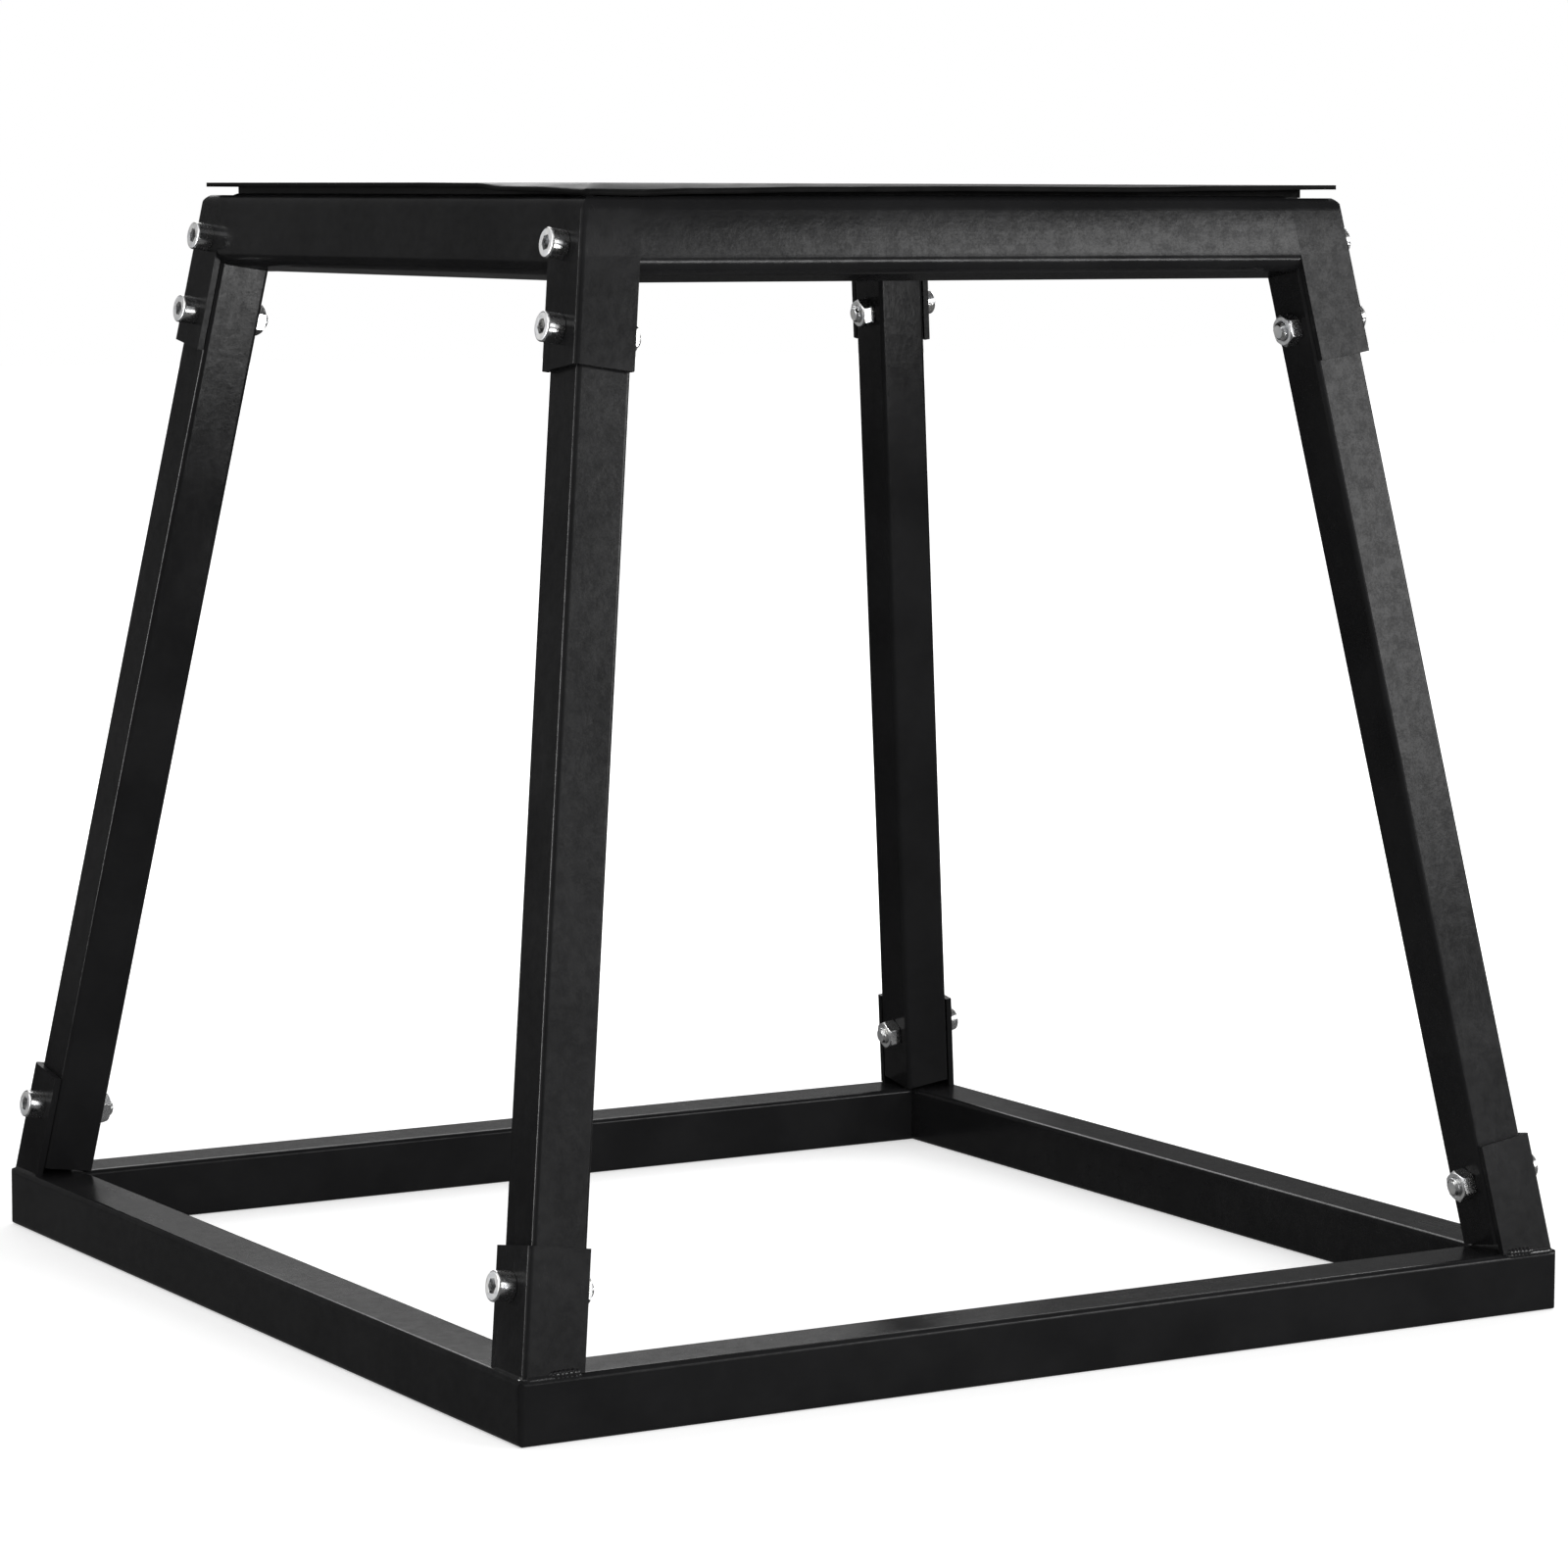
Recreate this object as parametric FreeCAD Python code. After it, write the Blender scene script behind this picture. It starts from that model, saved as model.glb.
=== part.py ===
import FreeCAD, Part
import math
import os

Vector = FreeCAD.Vector

# All sizes are in millimetres. The origin is on the floor under the middle of the box.
# X runs along the front face, Y runs from front to back and Z is up.

# Base ring of four mitred square tubes
base_width = 532.5
base_depth = 536.0
base_tube = 28.0
base_wall = 1.5
base_edge_radius = 2.5
base_corner_radius = 2.5

# Top frame of four leaning square tubes, measured over its outer faces at frame_top
top_width = 387.2
top_depth = 378.6
frame_top = 503.0
rail_tube = 34.0
rail_wall = 1.5
rail_edge_radius = 7.5

# Square tube legs
leg_tube = 25.4
leg_wall = 1.5
leg_edge_radius = 2.0
leg_seat_clearance = 0.1
leg_notch_clearance = 0.3
leg_foot_clearance = 0.0
leg_top_drop = 4.0

# Smallest rounding inside any tube
least_bore_radius = 0.5

# Corner angles: short ones stand on the base ring, long ones hang from the top frame
angle_thickness = 3.0
angle_shortfall = 0.8
angle_corner_radius = 2.2
angle_inset_x = 2.0
angle_inset_y = 0.8
base_angle_length = 54.3
top_angle_length = 70.5

# Deck plate and rubber mat, set back from the outer faces at frame_top
deck_margin = 12.0
deck_thickness = 3.75
deck_corner_radius = 3.0
mat_margin = 1.4
mat_thickness = 2.0
mat_corner_radius = 2.0

# Socket head screws and hex nuts
screw_diameter = 8.0
screw_head_diameter = 13.0
screw_head_height = 8.0
screw_head_edge_radius = 0.9
screw_end_chamfer = 1.0
screw_stand_out = 2.5
socket_width = 6.0
socket_depth = 4.2
socket_turn = 30.0
nut_width = 13.0
nut_height = 6.5
nut_turn = 0.0
nut_face_ratio = 0.97
nut_chamfer_angle = 30.0
nut_countersink = 0.6
thread_clearance = 0.05
hole_clearance = 0.5

# Screw places, measured along the leg
top_screw_drop = 23.7
top_screw_end_distance = 16.5
base_screw_end_distance = 16.9

# Worked out from the sizes above
frame_rise = frame_top - base_tube
foot_half_x = base_width / 2 - angle_inset_x
foot_half_y = base_depth / 2 - angle_inset_y
lean_x = (foot_half_x - top_width / 2) / frame_rise
lean_y = (foot_half_y - top_depth / 2) / frame_rise
slant_x = math.sqrt(1 + lean_x ** 2)
slant_y = math.sqrt(1 + lean_y ** 2)
leg_slant = math.sqrt(1 + lean_x ** 2 + lean_y ** 2)
leg_turn = math.asin(lean_x * lean_y / (slant_x * slant_y)) / 2
leg_reach = leg_seat_clearance + leg_tube * (math.cos(leg_turn) + math.sin(leg_turn))
angle_width = angle_thickness + leg_reach - angle_shortfall
flange_run_x = angle_width * leg_slant / slant_y
flange_run_y = angle_width * leg_slant / slant_x
cutter_size = 4 * (base_width + base_depth)

corner_signs = {
    "front_left": (-1, -1),
    "front_right": (1, -1),
    "back_left": (-1, 1),
    "back_right": (1, 1),
}


def half_x(height):
    """Half the width over the leaning side faces at a height."""
    return foot_half_x - lean_x * (height - base_tube)


def half_y(height):
    """Half the depth over the leaning front and back faces at a height."""
    return foot_half_y - lean_y * (height - base_tube)


def rounded_rectangle(width, depth, radius):
    """Closed wire about the origin in the XY plane with rounded corners."""
    x = width / 2
    y = depth / 2
    bow = radius * (1 - math.sqrt(0.5))
    edges = []
    for i in range(4):
        sx = (1, -1, -1, 1)[i]
        sy = (1, 1, -1, -1)[i]
        on_x_side = Vector(sx * x, sy * (y - radius), 0)
        middle = Vector(sx * (x - bow), sy * (y - bow), 0)
        on_y_side = Vector(sx * (x - radius), sy * y, 0)
        ends = (on_x_side, on_y_side) if i % 2 == 0 else (on_y_side, on_x_side)
        if edges:
            edges.append(Part.makeLine(edges[-1].Vertexes[-1].Point, ends[0]))
        edges.append(Part.Arc(ends[0], middle, ends[1]).toShape())
    edges.append(Part.makeLine(edges[-1].Vertexes[-1].Point, edges[0].Vertexes[0].Point))
    return Part.Wire(edges)


def slab(width, depth, thickness, radius, bottom):
    """Flat plate with rounded corners, centred on the Z axis."""
    plate = Part.Face(rounded_rectangle(width, depth, radius)).extrude(Vector(0, 0, thickness))
    plate.translate(Vector(0, 0, bottom))
    return plate


def square_tube(side, wall, radius, length):
    """Hollow square tube about the Z axis, from 0 up to its length."""
    bore_radius = max(radius - wall, least_bore_radius)
    outside = rounded_rectangle(side, side, radius)
    bore = rounded_rectangle(side - 2 * wall, side - 2 * wall, bore_radius)
    ring = Part.Face(outside).cut(Part.Face(bore))
    return ring.extrude(Vector(0, 0, length)).Solids[0]


def place(shape, x_axis, y_axis, z_axis, origin):
    """Copy of a shape with its own axes laid along the given ones."""
    matrix = FreeCAD.Matrix(
        x_axis.x, y_axis.x, z_axis.x, origin.x,
        x_axis.y, y_axis.y, z_axis.y, origin.y,
        x_axis.z, y_axis.z, z_axis.z, origin.z,
        0, 0, 0, 1,
    )
    placed = shape.copy()
    placed.Placement = FreeCAD.Placement(matrix).multiply(placed.Placement)
    return placed


def half_space(point, normal):
    """Large block on the side of a plane that its normal points to."""
    block = Part.makeBox(cutter_size, cutter_size, cutter_size, Vector(-cutter_size / 2, -cutter_size / 2, 0))
    turn = FreeCAD.Rotation(Vector(0, 0, 1), normal)
    block.Placement = FreeCAD.Placement(point, turn)
    return block


def prism(points, sweep):
    """Solid swept from a closed outline of straight lines."""
    return Part.Face(Part.makePolygon(points + points[:1])).extrude(sweep)


class Corner:
    """The leaning lines of one corner: the angles' outer corner line and the leg's own axes."""

    def __init__(self, sign_x, sign_y):
        self.sign_x = sign_x
        self.sign_y = sign_y
        self.up = Vector(-sign_x * lean_x, -sign_y * lean_y, 1).normalize()
        self.side_face = Vector(sign_x, 0, lean_x).normalize()
        self.end_face = Vector(0, sign_y, lean_y).normalize()
        outward = (self.side_face + self.end_face).normalize()
        across = (self.side_face - self.end_face).normalize()
        self.leg_side = (outward + across).normalize()
        self.leg_end = (outward - across).normalize()
        seat = self.point(base_tube, angle_thickness * slant_x, angle_thickness * slant_y)
        leg_corner = seat - outward * leg_seat_clearance
        self.leg_start = leg_corner - (self.leg_side + self.leg_end) * (leg_tube / 2)

    def point(self, height, inward_x=0.0, inward_y=0.0):
        """Point on the outer corner line at a height, or inward of it by level distances."""
        x = self.sign_x * (half_x(height) - inward_x)
        y = self.sign_y * (half_y(height) - inward_y)
        return Vector(x, y, height)

    def along_leg(self, point):
        """How far along the leg's centre line a point lies."""
        return (point - self.leg_start).dot(self.up)

    def on_axis(self, distance):
        """Point on the leg's centre line."""
        return self.leg_start + self.up * distance

    def at_height(self, height, corner_of_leg):
        """Distance along the leg where its centre or one of its corners reaches a height."""
        start = self.leg_start + (self.leg_side + self.leg_end) * (corner_of_leg * leg_tube / 2)
        return (height - start.z) / self.up.z

    def base_cut(self):
        """Top end of the base angle, square to the leg."""
        return self.point(base_tube) + self.up * base_angle_length

    def top_cut(self):
        """Lower end of the top angle, square to the leg."""
        return self.point(frame_top) - self.up * top_angle_length

    def screw_distances(self):
        """Places of the three screws along the leg, from the top down."""
        upper = self.at_height(frame_top, 0) - top_screw_drop
        lower = self.along_leg(self.top_cut()) + top_screw_end_distance
        base = self.along_leg(self.base_cut()) - base_screw_end_distance
        return {"upper": upper, "lower": lower, "base": base}

    def head_seat(self):
        """From the leg's centre line out to the flat under a screw's head."""
        straight = self.side_face.dot(self.leg_side)
        flange = self.side_face.dot(self.point(base_tube) - self.leg_start) / straight
        tilt = math.tan(math.acos(min(straight, 1.0)))
        return flange + screw_head_diameter / 2 * tilt


corners = {name: Corner(*signs) for name, signs in corner_signs.items()}


def screw_hole(corner, distance):
    """Clearance hole along a screw, right through the leg and the angle."""
    reach = 4 * angle_width
    start = corner.on_axis(distance) - corner.leg_side * (reach / 2)
    return Part.makeCylinder(screw_diameter / 2 + hole_clearance, reach, start, corner.leg_side)


def base_rail(side):
    """One tube of the base ring with mitred ends and softened outer corners."""
    along_x = side in ("front", "back")
    length = base_width if along_x else base_depth
    across = base_depth if along_x else base_width
    tube = square_tube(base_tube, base_wall, base_edge_radius, length)
    edge = -across / 2
    start = Vector(-length / 2, edge + base_tube / 2, base_tube / 2)
    tube = place(tube, Vector(0, 1, 0), Vector(0, 0, 1), Vector(1, 0, 0), start)
    mitre = prism(
        [
            Vector(-length / 2, edge, 0),
            Vector(length / 2, edge, 0),
            Vector(length / 2 - base_tube, edge + base_tube, 0),
            Vector(-length / 2 + base_tube, edge + base_tube, 0),
        ],
        Vector(0, 0, base_tube),
    )
    outline = slab(length, across, base_tube, base_corner_radius, 0)
    rail = tube.common(mitre).common(outline)
    turns = {"front": 0, "right": 90, "back": 180, "left": 270}
    rail.rotate(Vector(0, 0, 0), Vector(0, 0, 1), turns[side])
    return rail.Solids[0]


def angle_bar(corner, bottom, top):
    """Leaning angle section between two heights, with its outer faces in the frame's faces."""
    start = corner.point(bottom)
    sx = corner.sign_x
    sy = corner.sign_y
    thick_x = angle_thickness * slant_x
    thick_y = angle_thickness * slant_y
    bow = angle_corner_radius * (1 - math.sqrt(0.5))

    def inward(x, y):
        return start - Vector(sx * x, sy * y, 0)

    outline = [
        inward(0, angle_corner_radius),
        inward(0, flange_run_y),
        inward(thick_x, flange_run_y),
        inward(thick_x, thick_y),
        inward(flange_run_x, thick_y),
        inward(flange_run_x, 0),
        inward(angle_corner_radius, 0),
    ]
    edges = [Part.makeLine(a, b) for a, b in zip(outline[:-1], outline[1:])]
    edges.append(Part.Arc(outline[-1], inward(bow, bow), outline[0]).toShape())
    sweep = corner.up * ((top - bottom) / corner.up.z)
    return Part.Face(Part.Wire(edges)).extrude(sweep)


def base_angle(corner):
    """Short angle that stands on the base ring."""
    reach = base_tube + 2 * base_angle_length
    bar = angle_bar(corner, base_tube, reach).cut(half_space(corner.base_cut(), corner.up))
    return bar.cut(screw_hole(corner, corner.screw_distances()["base"])).Solids[0]


def frame_outline():
    """Solid inside the leaning outer faces, with the top edges rounded like the rails."""
    low = base_tube
    wires = []
    for height in (low, frame_top):
        x = half_x(height)
        y = half_y(height)
        points = [Vector(-x, -y, height), Vector(x, -y, height), Vector(x, y, height), Vector(-x, y, height)]
        wires.append(Part.makePolygon(points + points[:1]))
    block = Part.makeLoft(wires, True, True)
    top_edges = [edge for edge in block.Edges if edge.BoundBox.ZMin > frame_top - rail_edge_radius / 2]
    return block.makeFillet(rail_edge_radius, top_edges)


def top_angle(corner, outline):
    """Long angle that hangs from the top frame, rounded over at the top like the rails."""
    bar = angle_bar(corner, frame_top - 2 * top_angle_length, frame_top)
    bar = bar.cut(half_space(corner.top_cut(), corner.up * -1)).common(outline)
    distances = corner.screw_distances()
    for place_name in ("upper", "lower"):
        bar = bar.cut(screw_hole(corner, distances[place_name]))
    return bar.Solids[0]


def leg(corner):
    """Square tube leg with both ends cut square and its screw holes."""
    bottom = corner.at_height(base_tube + leg_foot_clearance, -1)
    top = corner.at_height(frame_top - leg_top_drop, 1)
    tube = square_tube(leg_tube, leg_wall, leg_edge_radius, top - bottom)
    x_axis = corner.leg_side
    y_axis = corner.up.cross(x_axis)
    tube = place(tube, x_axis, y_axis, corner.up, corner.on_axis(bottom))
    for distance in corner.screw_distances().values():
        tube = tube.cut(screw_hole(corner, distance))
    return tube.Solids[0]


def leg_notch(corner):
    """Room for one leg, cut out of the ends of the top rails beside it."""
    side = leg_tube + 2 * leg_notch_clearance
    length = corner.at_height(frame_top, 1)
    block = Part.makeBox(side, side, length, Vector(-side / 2, -side / 2, 0))
    return place(block, corner.leg_side, corner.up.cross(corner.leg_side), corner.up, corner.leg_start)


def rail_section(half_top, lean, slant):
    """Level distance out to a top rail's centre line, and the height of that line."""
    to_centre = rail_tube / 2 - rail_edge_radius
    round_out = half_top + lean * rail_edge_radius - rail_edge_radius * slant
    round_height = frame_top - rail_edge_radius
    out = round_out - to_centre / slant + to_centre * lean / slant
    height = round_height - to_centre / slant - to_centre * lean / slant
    return out, height


def top_rail(side):
    """One leaning tube of the top frame, butted against the angles and mitred at its inner edge."""
    along_x = side in ("front", "back")
    sign = -1 if side in ("front", "left") else 1
    lean = lean_y if along_x else lean_x
    slant = slant_y if along_x else slant_x
    half_top = top_depth / 2 if along_x else top_width / 2
    length = max(base_width, base_depth)
    out, height = rail_section(half_top, lean, slant)
    if along_x:
        run = Vector(1, 0, 0)
        face = Vector(0, sign, lean).normalize()
        middle = Vector(0, sign * out, height)
    else:
        run = Vector(0, 1, 0)
        face = Vector(sign, 0, lean).normalize()
        middle = Vector(sign * out, 0, height)
    tube = square_tube(rail_tube, rail_wall, rail_edge_radius, length)
    rail = place(tube, face, run.cross(face), run, middle - run * (length / 2))
    for name, corner in corners.items():
        if side not in name:
            continue
        own_face = corner.end_face if along_x else corner.side_face
        other_face = corner.side_face if along_x else corner.end_face
        inward_x = flange_run_x if along_x else 0.0
        inward_y = 0.0 if along_x else flange_run_y
        rail = rail.cut(half_space(corner.point(frame_top, inward_x, inward_y), other_face))
        rail = rail.cut(half_space(corner.point(frame_top), (other_face - own_face).normalize()))
        rail = rail.cut(leg_notch(corner))
    return rail.Solids[0]


def deck_bottom():
    """Height where the flat deck plate comes to rest on the leaning top rails."""
    rests = []
    for half_top, lean, slant in ((top_width / 2, lean_x, slant_x), (top_depth / 2, lean_y, slant_y)):
        out, height = rail_section(half_top, lean, slant)
        on_rail = height + rail_tube / 2 * slant + lean * (half_top - deck_margin - out)
        rests.append(min(frame_top, on_rail))
    return max(rests)


def deck_plate():
    """Flat steel deck."""
    width = top_width - 2 * deck_margin
    depth = top_depth - 2 * deck_margin
    return slab(width, depth, deck_thickness, deck_corner_radius, deck_bottom())


def rubber_mat():
    """Thin rubber mat that covers the deck and reaches out over the rails."""
    width = top_width - 2 * mat_margin
    depth = top_depth - 2 * mat_margin
    return slab(width, depth, mat_thickness, mat_corner_radius, deck_bottom() + deck_thickness)


def hexagon(width, height, turn=0.0):
    """Hexagonal bar about the Z axis, with its width across the flats."""
    radius = width / math.sqrt(3)
    angles = [math.radians(60 * i + turn) for i in range(6)]
    points = [Vector(radius * math.cos(a), radius * math.sin(a), 0) for a in angles]
    return prism(points, Vector(0, 0, height))


def turned(points):
    """Solid of revolution about the Z axis from points given as radius and height."""
    outline = [Vector(radius, 0, height) for radius, height in points]
    face = Part.Face(Part.makePolygon(outline + outline[:1]))
    return face.revolve(Vector(0, 0, 0), Vector(0, 0, 1), 360)


def socket_screw(length):
    """Socket head cap screw: its head rises from Z 0 and its shank runs down."""
    radius = screw_diameter / 2
    tip = radius - screw_end_chamfer
    shank = turned([(0, -length), (tip, -length), (radius, screw_end_chamfer - length), (radius, 0), (0, 0)])
    head = Part.makeCylinder(screw_head_diameter / 2, screw_head_height)
    rim = [edge for edge in head.Edges if edge.BoundBox.ZMin > screw_head_height / 2 and edge.Closed]
    head = head.makeFillet(screw_head_edge_radius, rim)
    socket = hexagon(socket_width, socket_depth, socket_turn)
    socket.translate(Vector(0, 0, screw_head_height - socket_depth))
    return head.cut(socket).fuse(shank).removeSplitter().Solids[0]


def hex_nut():
    """Hex nut with chamfered corners; it hangs below Z 0, where it bears on the leg."""
    bore = screw_diameter / 2 + thread_clearance
    reach = nut_width / math.sqrt(3)
    face_radius = nut_width / 2 * nut_face_ratio
    drop = (reach - face_radius) * math.tan(math.radians(nut_chamfer_angle))
    body = turned([
        (bore, -nut_countersink), (bore + nut_countersink, 0), (face_radius, 0), (reach, -drop),
        (reach, drop - nut_height), (face_radius, -nut_height), (bore + nut_countersink, -nut_height),
        (bore, nut_countersink - nut_height),
    ])
    blank = hexagon(nut_width, nut_height, nut_turn)
    blank.translate(Vector(0, 0, -nut_height))
    return body.common(blank).Solids[0]


def fasteners(place_name):
    """The four screws and the four nuts at one of the three places along the legs."""
    screws = []
    nuts = []
    for corner in corners.values():
        axis_point = corner.on_axis(corner.screw_distances()[place_name])
        x_axis = corner.up
        y_axis = corner.leg_side.cross(x_axis)
        seat = corner.head_seat()
        length = seat + leg_tube / 2 + nut_height + screw_stand_out
        head_point = axis_point + corner.leg_side * seat
        nut_point = axis_point - corner.leg_side * (leg_tube / 2)
        screws.append(place(socket_screw(length), x_axis, y_axis, corner.leg_side, head_point))
        nuts.append(place(hex_nut(), x_axis, y_axis, corner.leg_side, nut_point))
    return Part.makeCompound(screws), Part.makeCompound(nuts)


def build():
    """All pieces by name."""
    pieces = {}
    for side in ("front", "back", "left", "right"):
        pieces["base_rail_" + side] = base_rail(side)
        pieces["top_rail_" + side] = top_rail(side)
    outline = frame_outline()
    for name, corner in corners.items():
        pieces["base_angle_" + name] = base_angle(corner)
        pieces["top_angle_" + name] = top_angle(corner, outline)
        pieces["leg_" + name] = leg(corner)
    pieces["deck_plate"] = deck_plate()
    pieces["rubber_mat"] = rubber_mat()
    for place_name, label in (("upper", "top_upper"), ("lower", "top_lower"), ("base", "base")):
        screws, nuts = fasteners(place_name)
        pieces[label + "_screws"] = screws
        pieces[label + "_nuts"] = nuts
    return pieces


os.makedirs("parts", exist_ok=True)
for node, shape in build().items():
    shape.exportStep("parts/" + node + ".step")
    print(node, len(shape.Solids), "solid", round(shape.Volume), "mm3", shape.isValid())
print("overall height", round(deck_bottom() + deck_thickness + mat_thickness, 3))
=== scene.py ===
# %% [markdown]
# A plyo box in Blender. The steel frame, its screws and its nuts arrive as finished CAD solids.
# Blender never moves or reshapes them: it only gives them a finish. What CAD leaves out is made here:
# the drooping rubber mat, the welds at the feet of the angles and the thread on the bare screw ends.

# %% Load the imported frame
import math

import bmesh
import bpy
from mathutils import Matrix, Vector, noise


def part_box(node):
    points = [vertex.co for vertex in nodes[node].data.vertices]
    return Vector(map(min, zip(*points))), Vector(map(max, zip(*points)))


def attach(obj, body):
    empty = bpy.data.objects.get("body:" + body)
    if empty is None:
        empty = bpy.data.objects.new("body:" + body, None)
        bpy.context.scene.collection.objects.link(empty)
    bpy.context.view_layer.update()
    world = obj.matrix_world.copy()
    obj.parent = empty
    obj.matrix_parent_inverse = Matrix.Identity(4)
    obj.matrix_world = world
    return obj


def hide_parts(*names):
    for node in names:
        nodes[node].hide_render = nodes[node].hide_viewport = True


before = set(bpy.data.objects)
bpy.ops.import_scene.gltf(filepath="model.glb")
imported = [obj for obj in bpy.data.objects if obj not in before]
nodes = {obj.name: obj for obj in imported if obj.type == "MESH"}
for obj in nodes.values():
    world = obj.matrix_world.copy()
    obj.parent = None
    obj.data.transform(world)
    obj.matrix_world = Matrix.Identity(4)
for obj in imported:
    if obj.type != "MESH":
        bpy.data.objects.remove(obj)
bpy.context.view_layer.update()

MM = 0.001

# %% [markdown]
# The camera comes first, because every other choice is judged through it. It stands low on the front left,
# level with the top of the frame, so the mat is seen edge on. A long lens keeps the legs nearly parallel.
# The place, the turn and the lens were solved from the straight edges of the photograph.

# %% Camera
image_width = 1600
focal_pixels = 5312.0
sensor_width = 36.0
camera_place = Vector((-1224.8, -2089.3, 503.8)) * MM
camera_yaw = 0.53581
camera_pitch = 0.11303
camera_roll = -0.00278


def camera_matrix():
    forward = Vector((
        math.sin(camera_yaw) * math.cos(camera_pitch),
        math.cos(camera_yaw) * math.cos(camera_pitch),
        -math.sin(camera_pitch),
    ))
    right = Vector((math.cos(camera_yaw), -math.sin(camera_yaw), 0))
    down = forward.cross(right)
    rolled_right = right * math.cos(camera_roll) + down * math.sin(camera_roll)
    rolled_down = down * math.cos(camera_roll) - right * math.sin(camera_roll)
    turn = Matrix((rolled_right, -rolled_down, -forward)).transposed()
    return Matrix.Translation(camera_place) @ turn.to_4x4()


camera_data = bpy.data.cameras.new("photo_camera")
camera_data.sensor_width = sensor_width
camera_data.lens = focal_pixels / image_width * sensor_width
camera_data.clip_start = 0.05
camera_data.clip_end = 60
camera = bpy.data.objects.new("photo_camera", camera_data)
camera.matrix_world = camera_matrix()
bpy.context.scene.collection.objects.link(camera)
bpy.context.scene.camera = camera
print("lens", round(camera_data.lens, 2), "mm")

# %% [markdown]
# Every finish starts from the same few nodes: the object's own coordinates, a noise at a real size,
# a range that turns noise into a useful value, and a bump. They could be built by hand for each material,
# but small helpers keep the recipes short enough to read.

# %% Material helpers
edge_rays = 4
edge_turn = (0.86, 0.99)


def start_finish(name):
    """New material with its shader and the object's own coordinates."""
    material = bpy.data.materials.new(name)
    material.use_nodes = True
    tree = material.node_tree
    shader = tree.nodes["Principled BSDF"]
    place = tree.nodes.new("ShaderNodeTexCoord").outputs["Object"]
    return material, tree, shader, place


def grain(tree, place, size, detail=2.0, stretch=(1, 1, 1)):
    """Noise whose blotches are about this many millimetres across, drawn out by a stretch."""
    spread = tree.nodes.new("ShaderNodeMapping")
    for axis in range(3):
        spread.inputs["Scale"].default_value[axis] = 1 / (size * MM * stretch[axis])
    tree.links.new(place, spread.inputs["Vector"])
    texture = tree.nodes.new("ShaderNodeTexNoise")
    texture.inputs["Scale"].default_value = 1.0
    texture.inputs["Detail"].default_value = detail
    tree.links.new(spread.outputs["Vector"], texture.inputs["Vector"])
    return texture.outputs[0]


def between(tree, value, low, high, start=0.3, end=0.7):
    """Turns a value that runs from start to end into one that runs from low to high."""
    span = tree.nodes.new("ShaderNodeMapRange")
    span.interpolation_type = "SMOOTHSTEP"
    for socket, number in (("From Min", start), ("From Max", end), ("To Min", low), ("To Max", high)):
        span.inputs[socket].default_value = number
    tree.links.new(value, span.inputs["Value"])
    return span.outputs["Result"]


def blend_colours(tree, share, dark, light):
    """Colour that goes from dark to light with a share."""
    mix = tree.nodes.new("ShaderNodeMix")
    mix.data_type = "RGBA"
    for socket, colour in (("A", dark), ("B", light)):
        target = next(s for s in mix.inputs if s.name == socket and s.type == "RGBA")
        if isinstance(colour, tuple):
            target.default_value = (*colour, 1)
        else:
            tree.links.new(colour, target)
    tree.links.new(share, mix.inputs[0])
    return next(s for s in mix.outputs if s.type == "RGBA")


def arithmetic(tree, operation, first, second):
    """One sum on two values, each a plain number or an output of the node tree."""
    node = tree.nodes.new("ShaderNodeMath")
    node.operation = operation
    for socket, value in zip(node.inputs, (first, second)):
        if isinstance(value, (int, float)):
            socket.default_value = value
        else:
            tree.links.new(value, socket)
    return node.outputs[0]


def raise_bumps(tree, height, depth, under=None):
    """Bump of a real depth in millimetres, laid over an earlier normal if there is one."""
    bump = tree.nodes.new("ShaderNodeBump")
    bump.inputs["Strength"].default_value = 1.0
    bump.inputs["Distance"].default_value = depth * MM
    tree.links.new(height, bump.inputs["Height"])
    if under is not None:
        tree.links.new(under, bump.inputs["Normal"])
    return bump.outputs["Normal"]


def soft_edges(tree, radius):
    """Normal that rounds sharp edges, and a value that is 1 on an edge and 0 away from it."""
    bevel = tree.nodes.new("ShaderNodeBevel")
    bevel.samples = edge_rays
    bevel.inputs["Radius"].default_value = radius * MM
    flat = tree.nodes.new("ShaderNodeNewGeometry").outputs["True Normal"]
    compare = tree.nodes.new("ShaderNodeVectorMath")
    compare.operation = "DOT_PRODUCT"
    tree.links.new(bevel.outputs["Normal"], compare.inputs[0])
    tree.links.new(flat, compare.inputs[1])
    return bevel.outputs["Normal"], between(tree, compare.outputs["Value"], 1, 0, *edge_turn)


def facing_up(tree, start=0.85, end=0.99):
    """1 where a surface lies level and looks up, 0 on its sides."""
    parts = tree.nodes.new("ShaderNodeSeparateXYZ")
    tree.links.new(tree.nodes.new("ShaderNodeNewGeometry").outputs["Normal"], parts.inputs[0])
    return between(tree, parts.outputs["Z"], 0, 1, start, end)


# %% [markdown]
# The frame is drawn steel tube with a semi-gloss black powder coat. Powder melts into a skin with a slight
# orange peel, so the coat is not one flat black: it gets shallow waves, a finer grit and slow changes of
# gloss. The lines of the drawn tube still show through it faintly, so each piece has its own streak
# direction. Level tops gather dust and turn duller. A few edges are painted a little greyer: partly rubbed
# wear, partly a painted highlight along the edge.
# The walls of the big top rails are not quite flat, so a very shallow bump makes them bulge, and
# a reflection fades across them. Real curved walls would do the same, but the CAD mesh stays as it is.

# %% Powder coat for the steel
coat_black = (0.0085, 0.0085, 0.0089)
coat_grey = (0.0115, 0.0115, 0.0120)
# Greyer edge colour: partly rubbed wear, partly a painted highlight
coat_worn_highlit_edge = (0.028, 0.028, 0.029)
tube_shine = 0.16
tube_gloss = (0.14, 0.19)
leg_shine = 0.14
angle_shine = 0.12
angle_gloss = (0.18, 0.25)
weld_shine = 0.5
weld_gloss = (0.08, 0.14)
edge_band = 0.35
streak_stretch = 40

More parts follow.
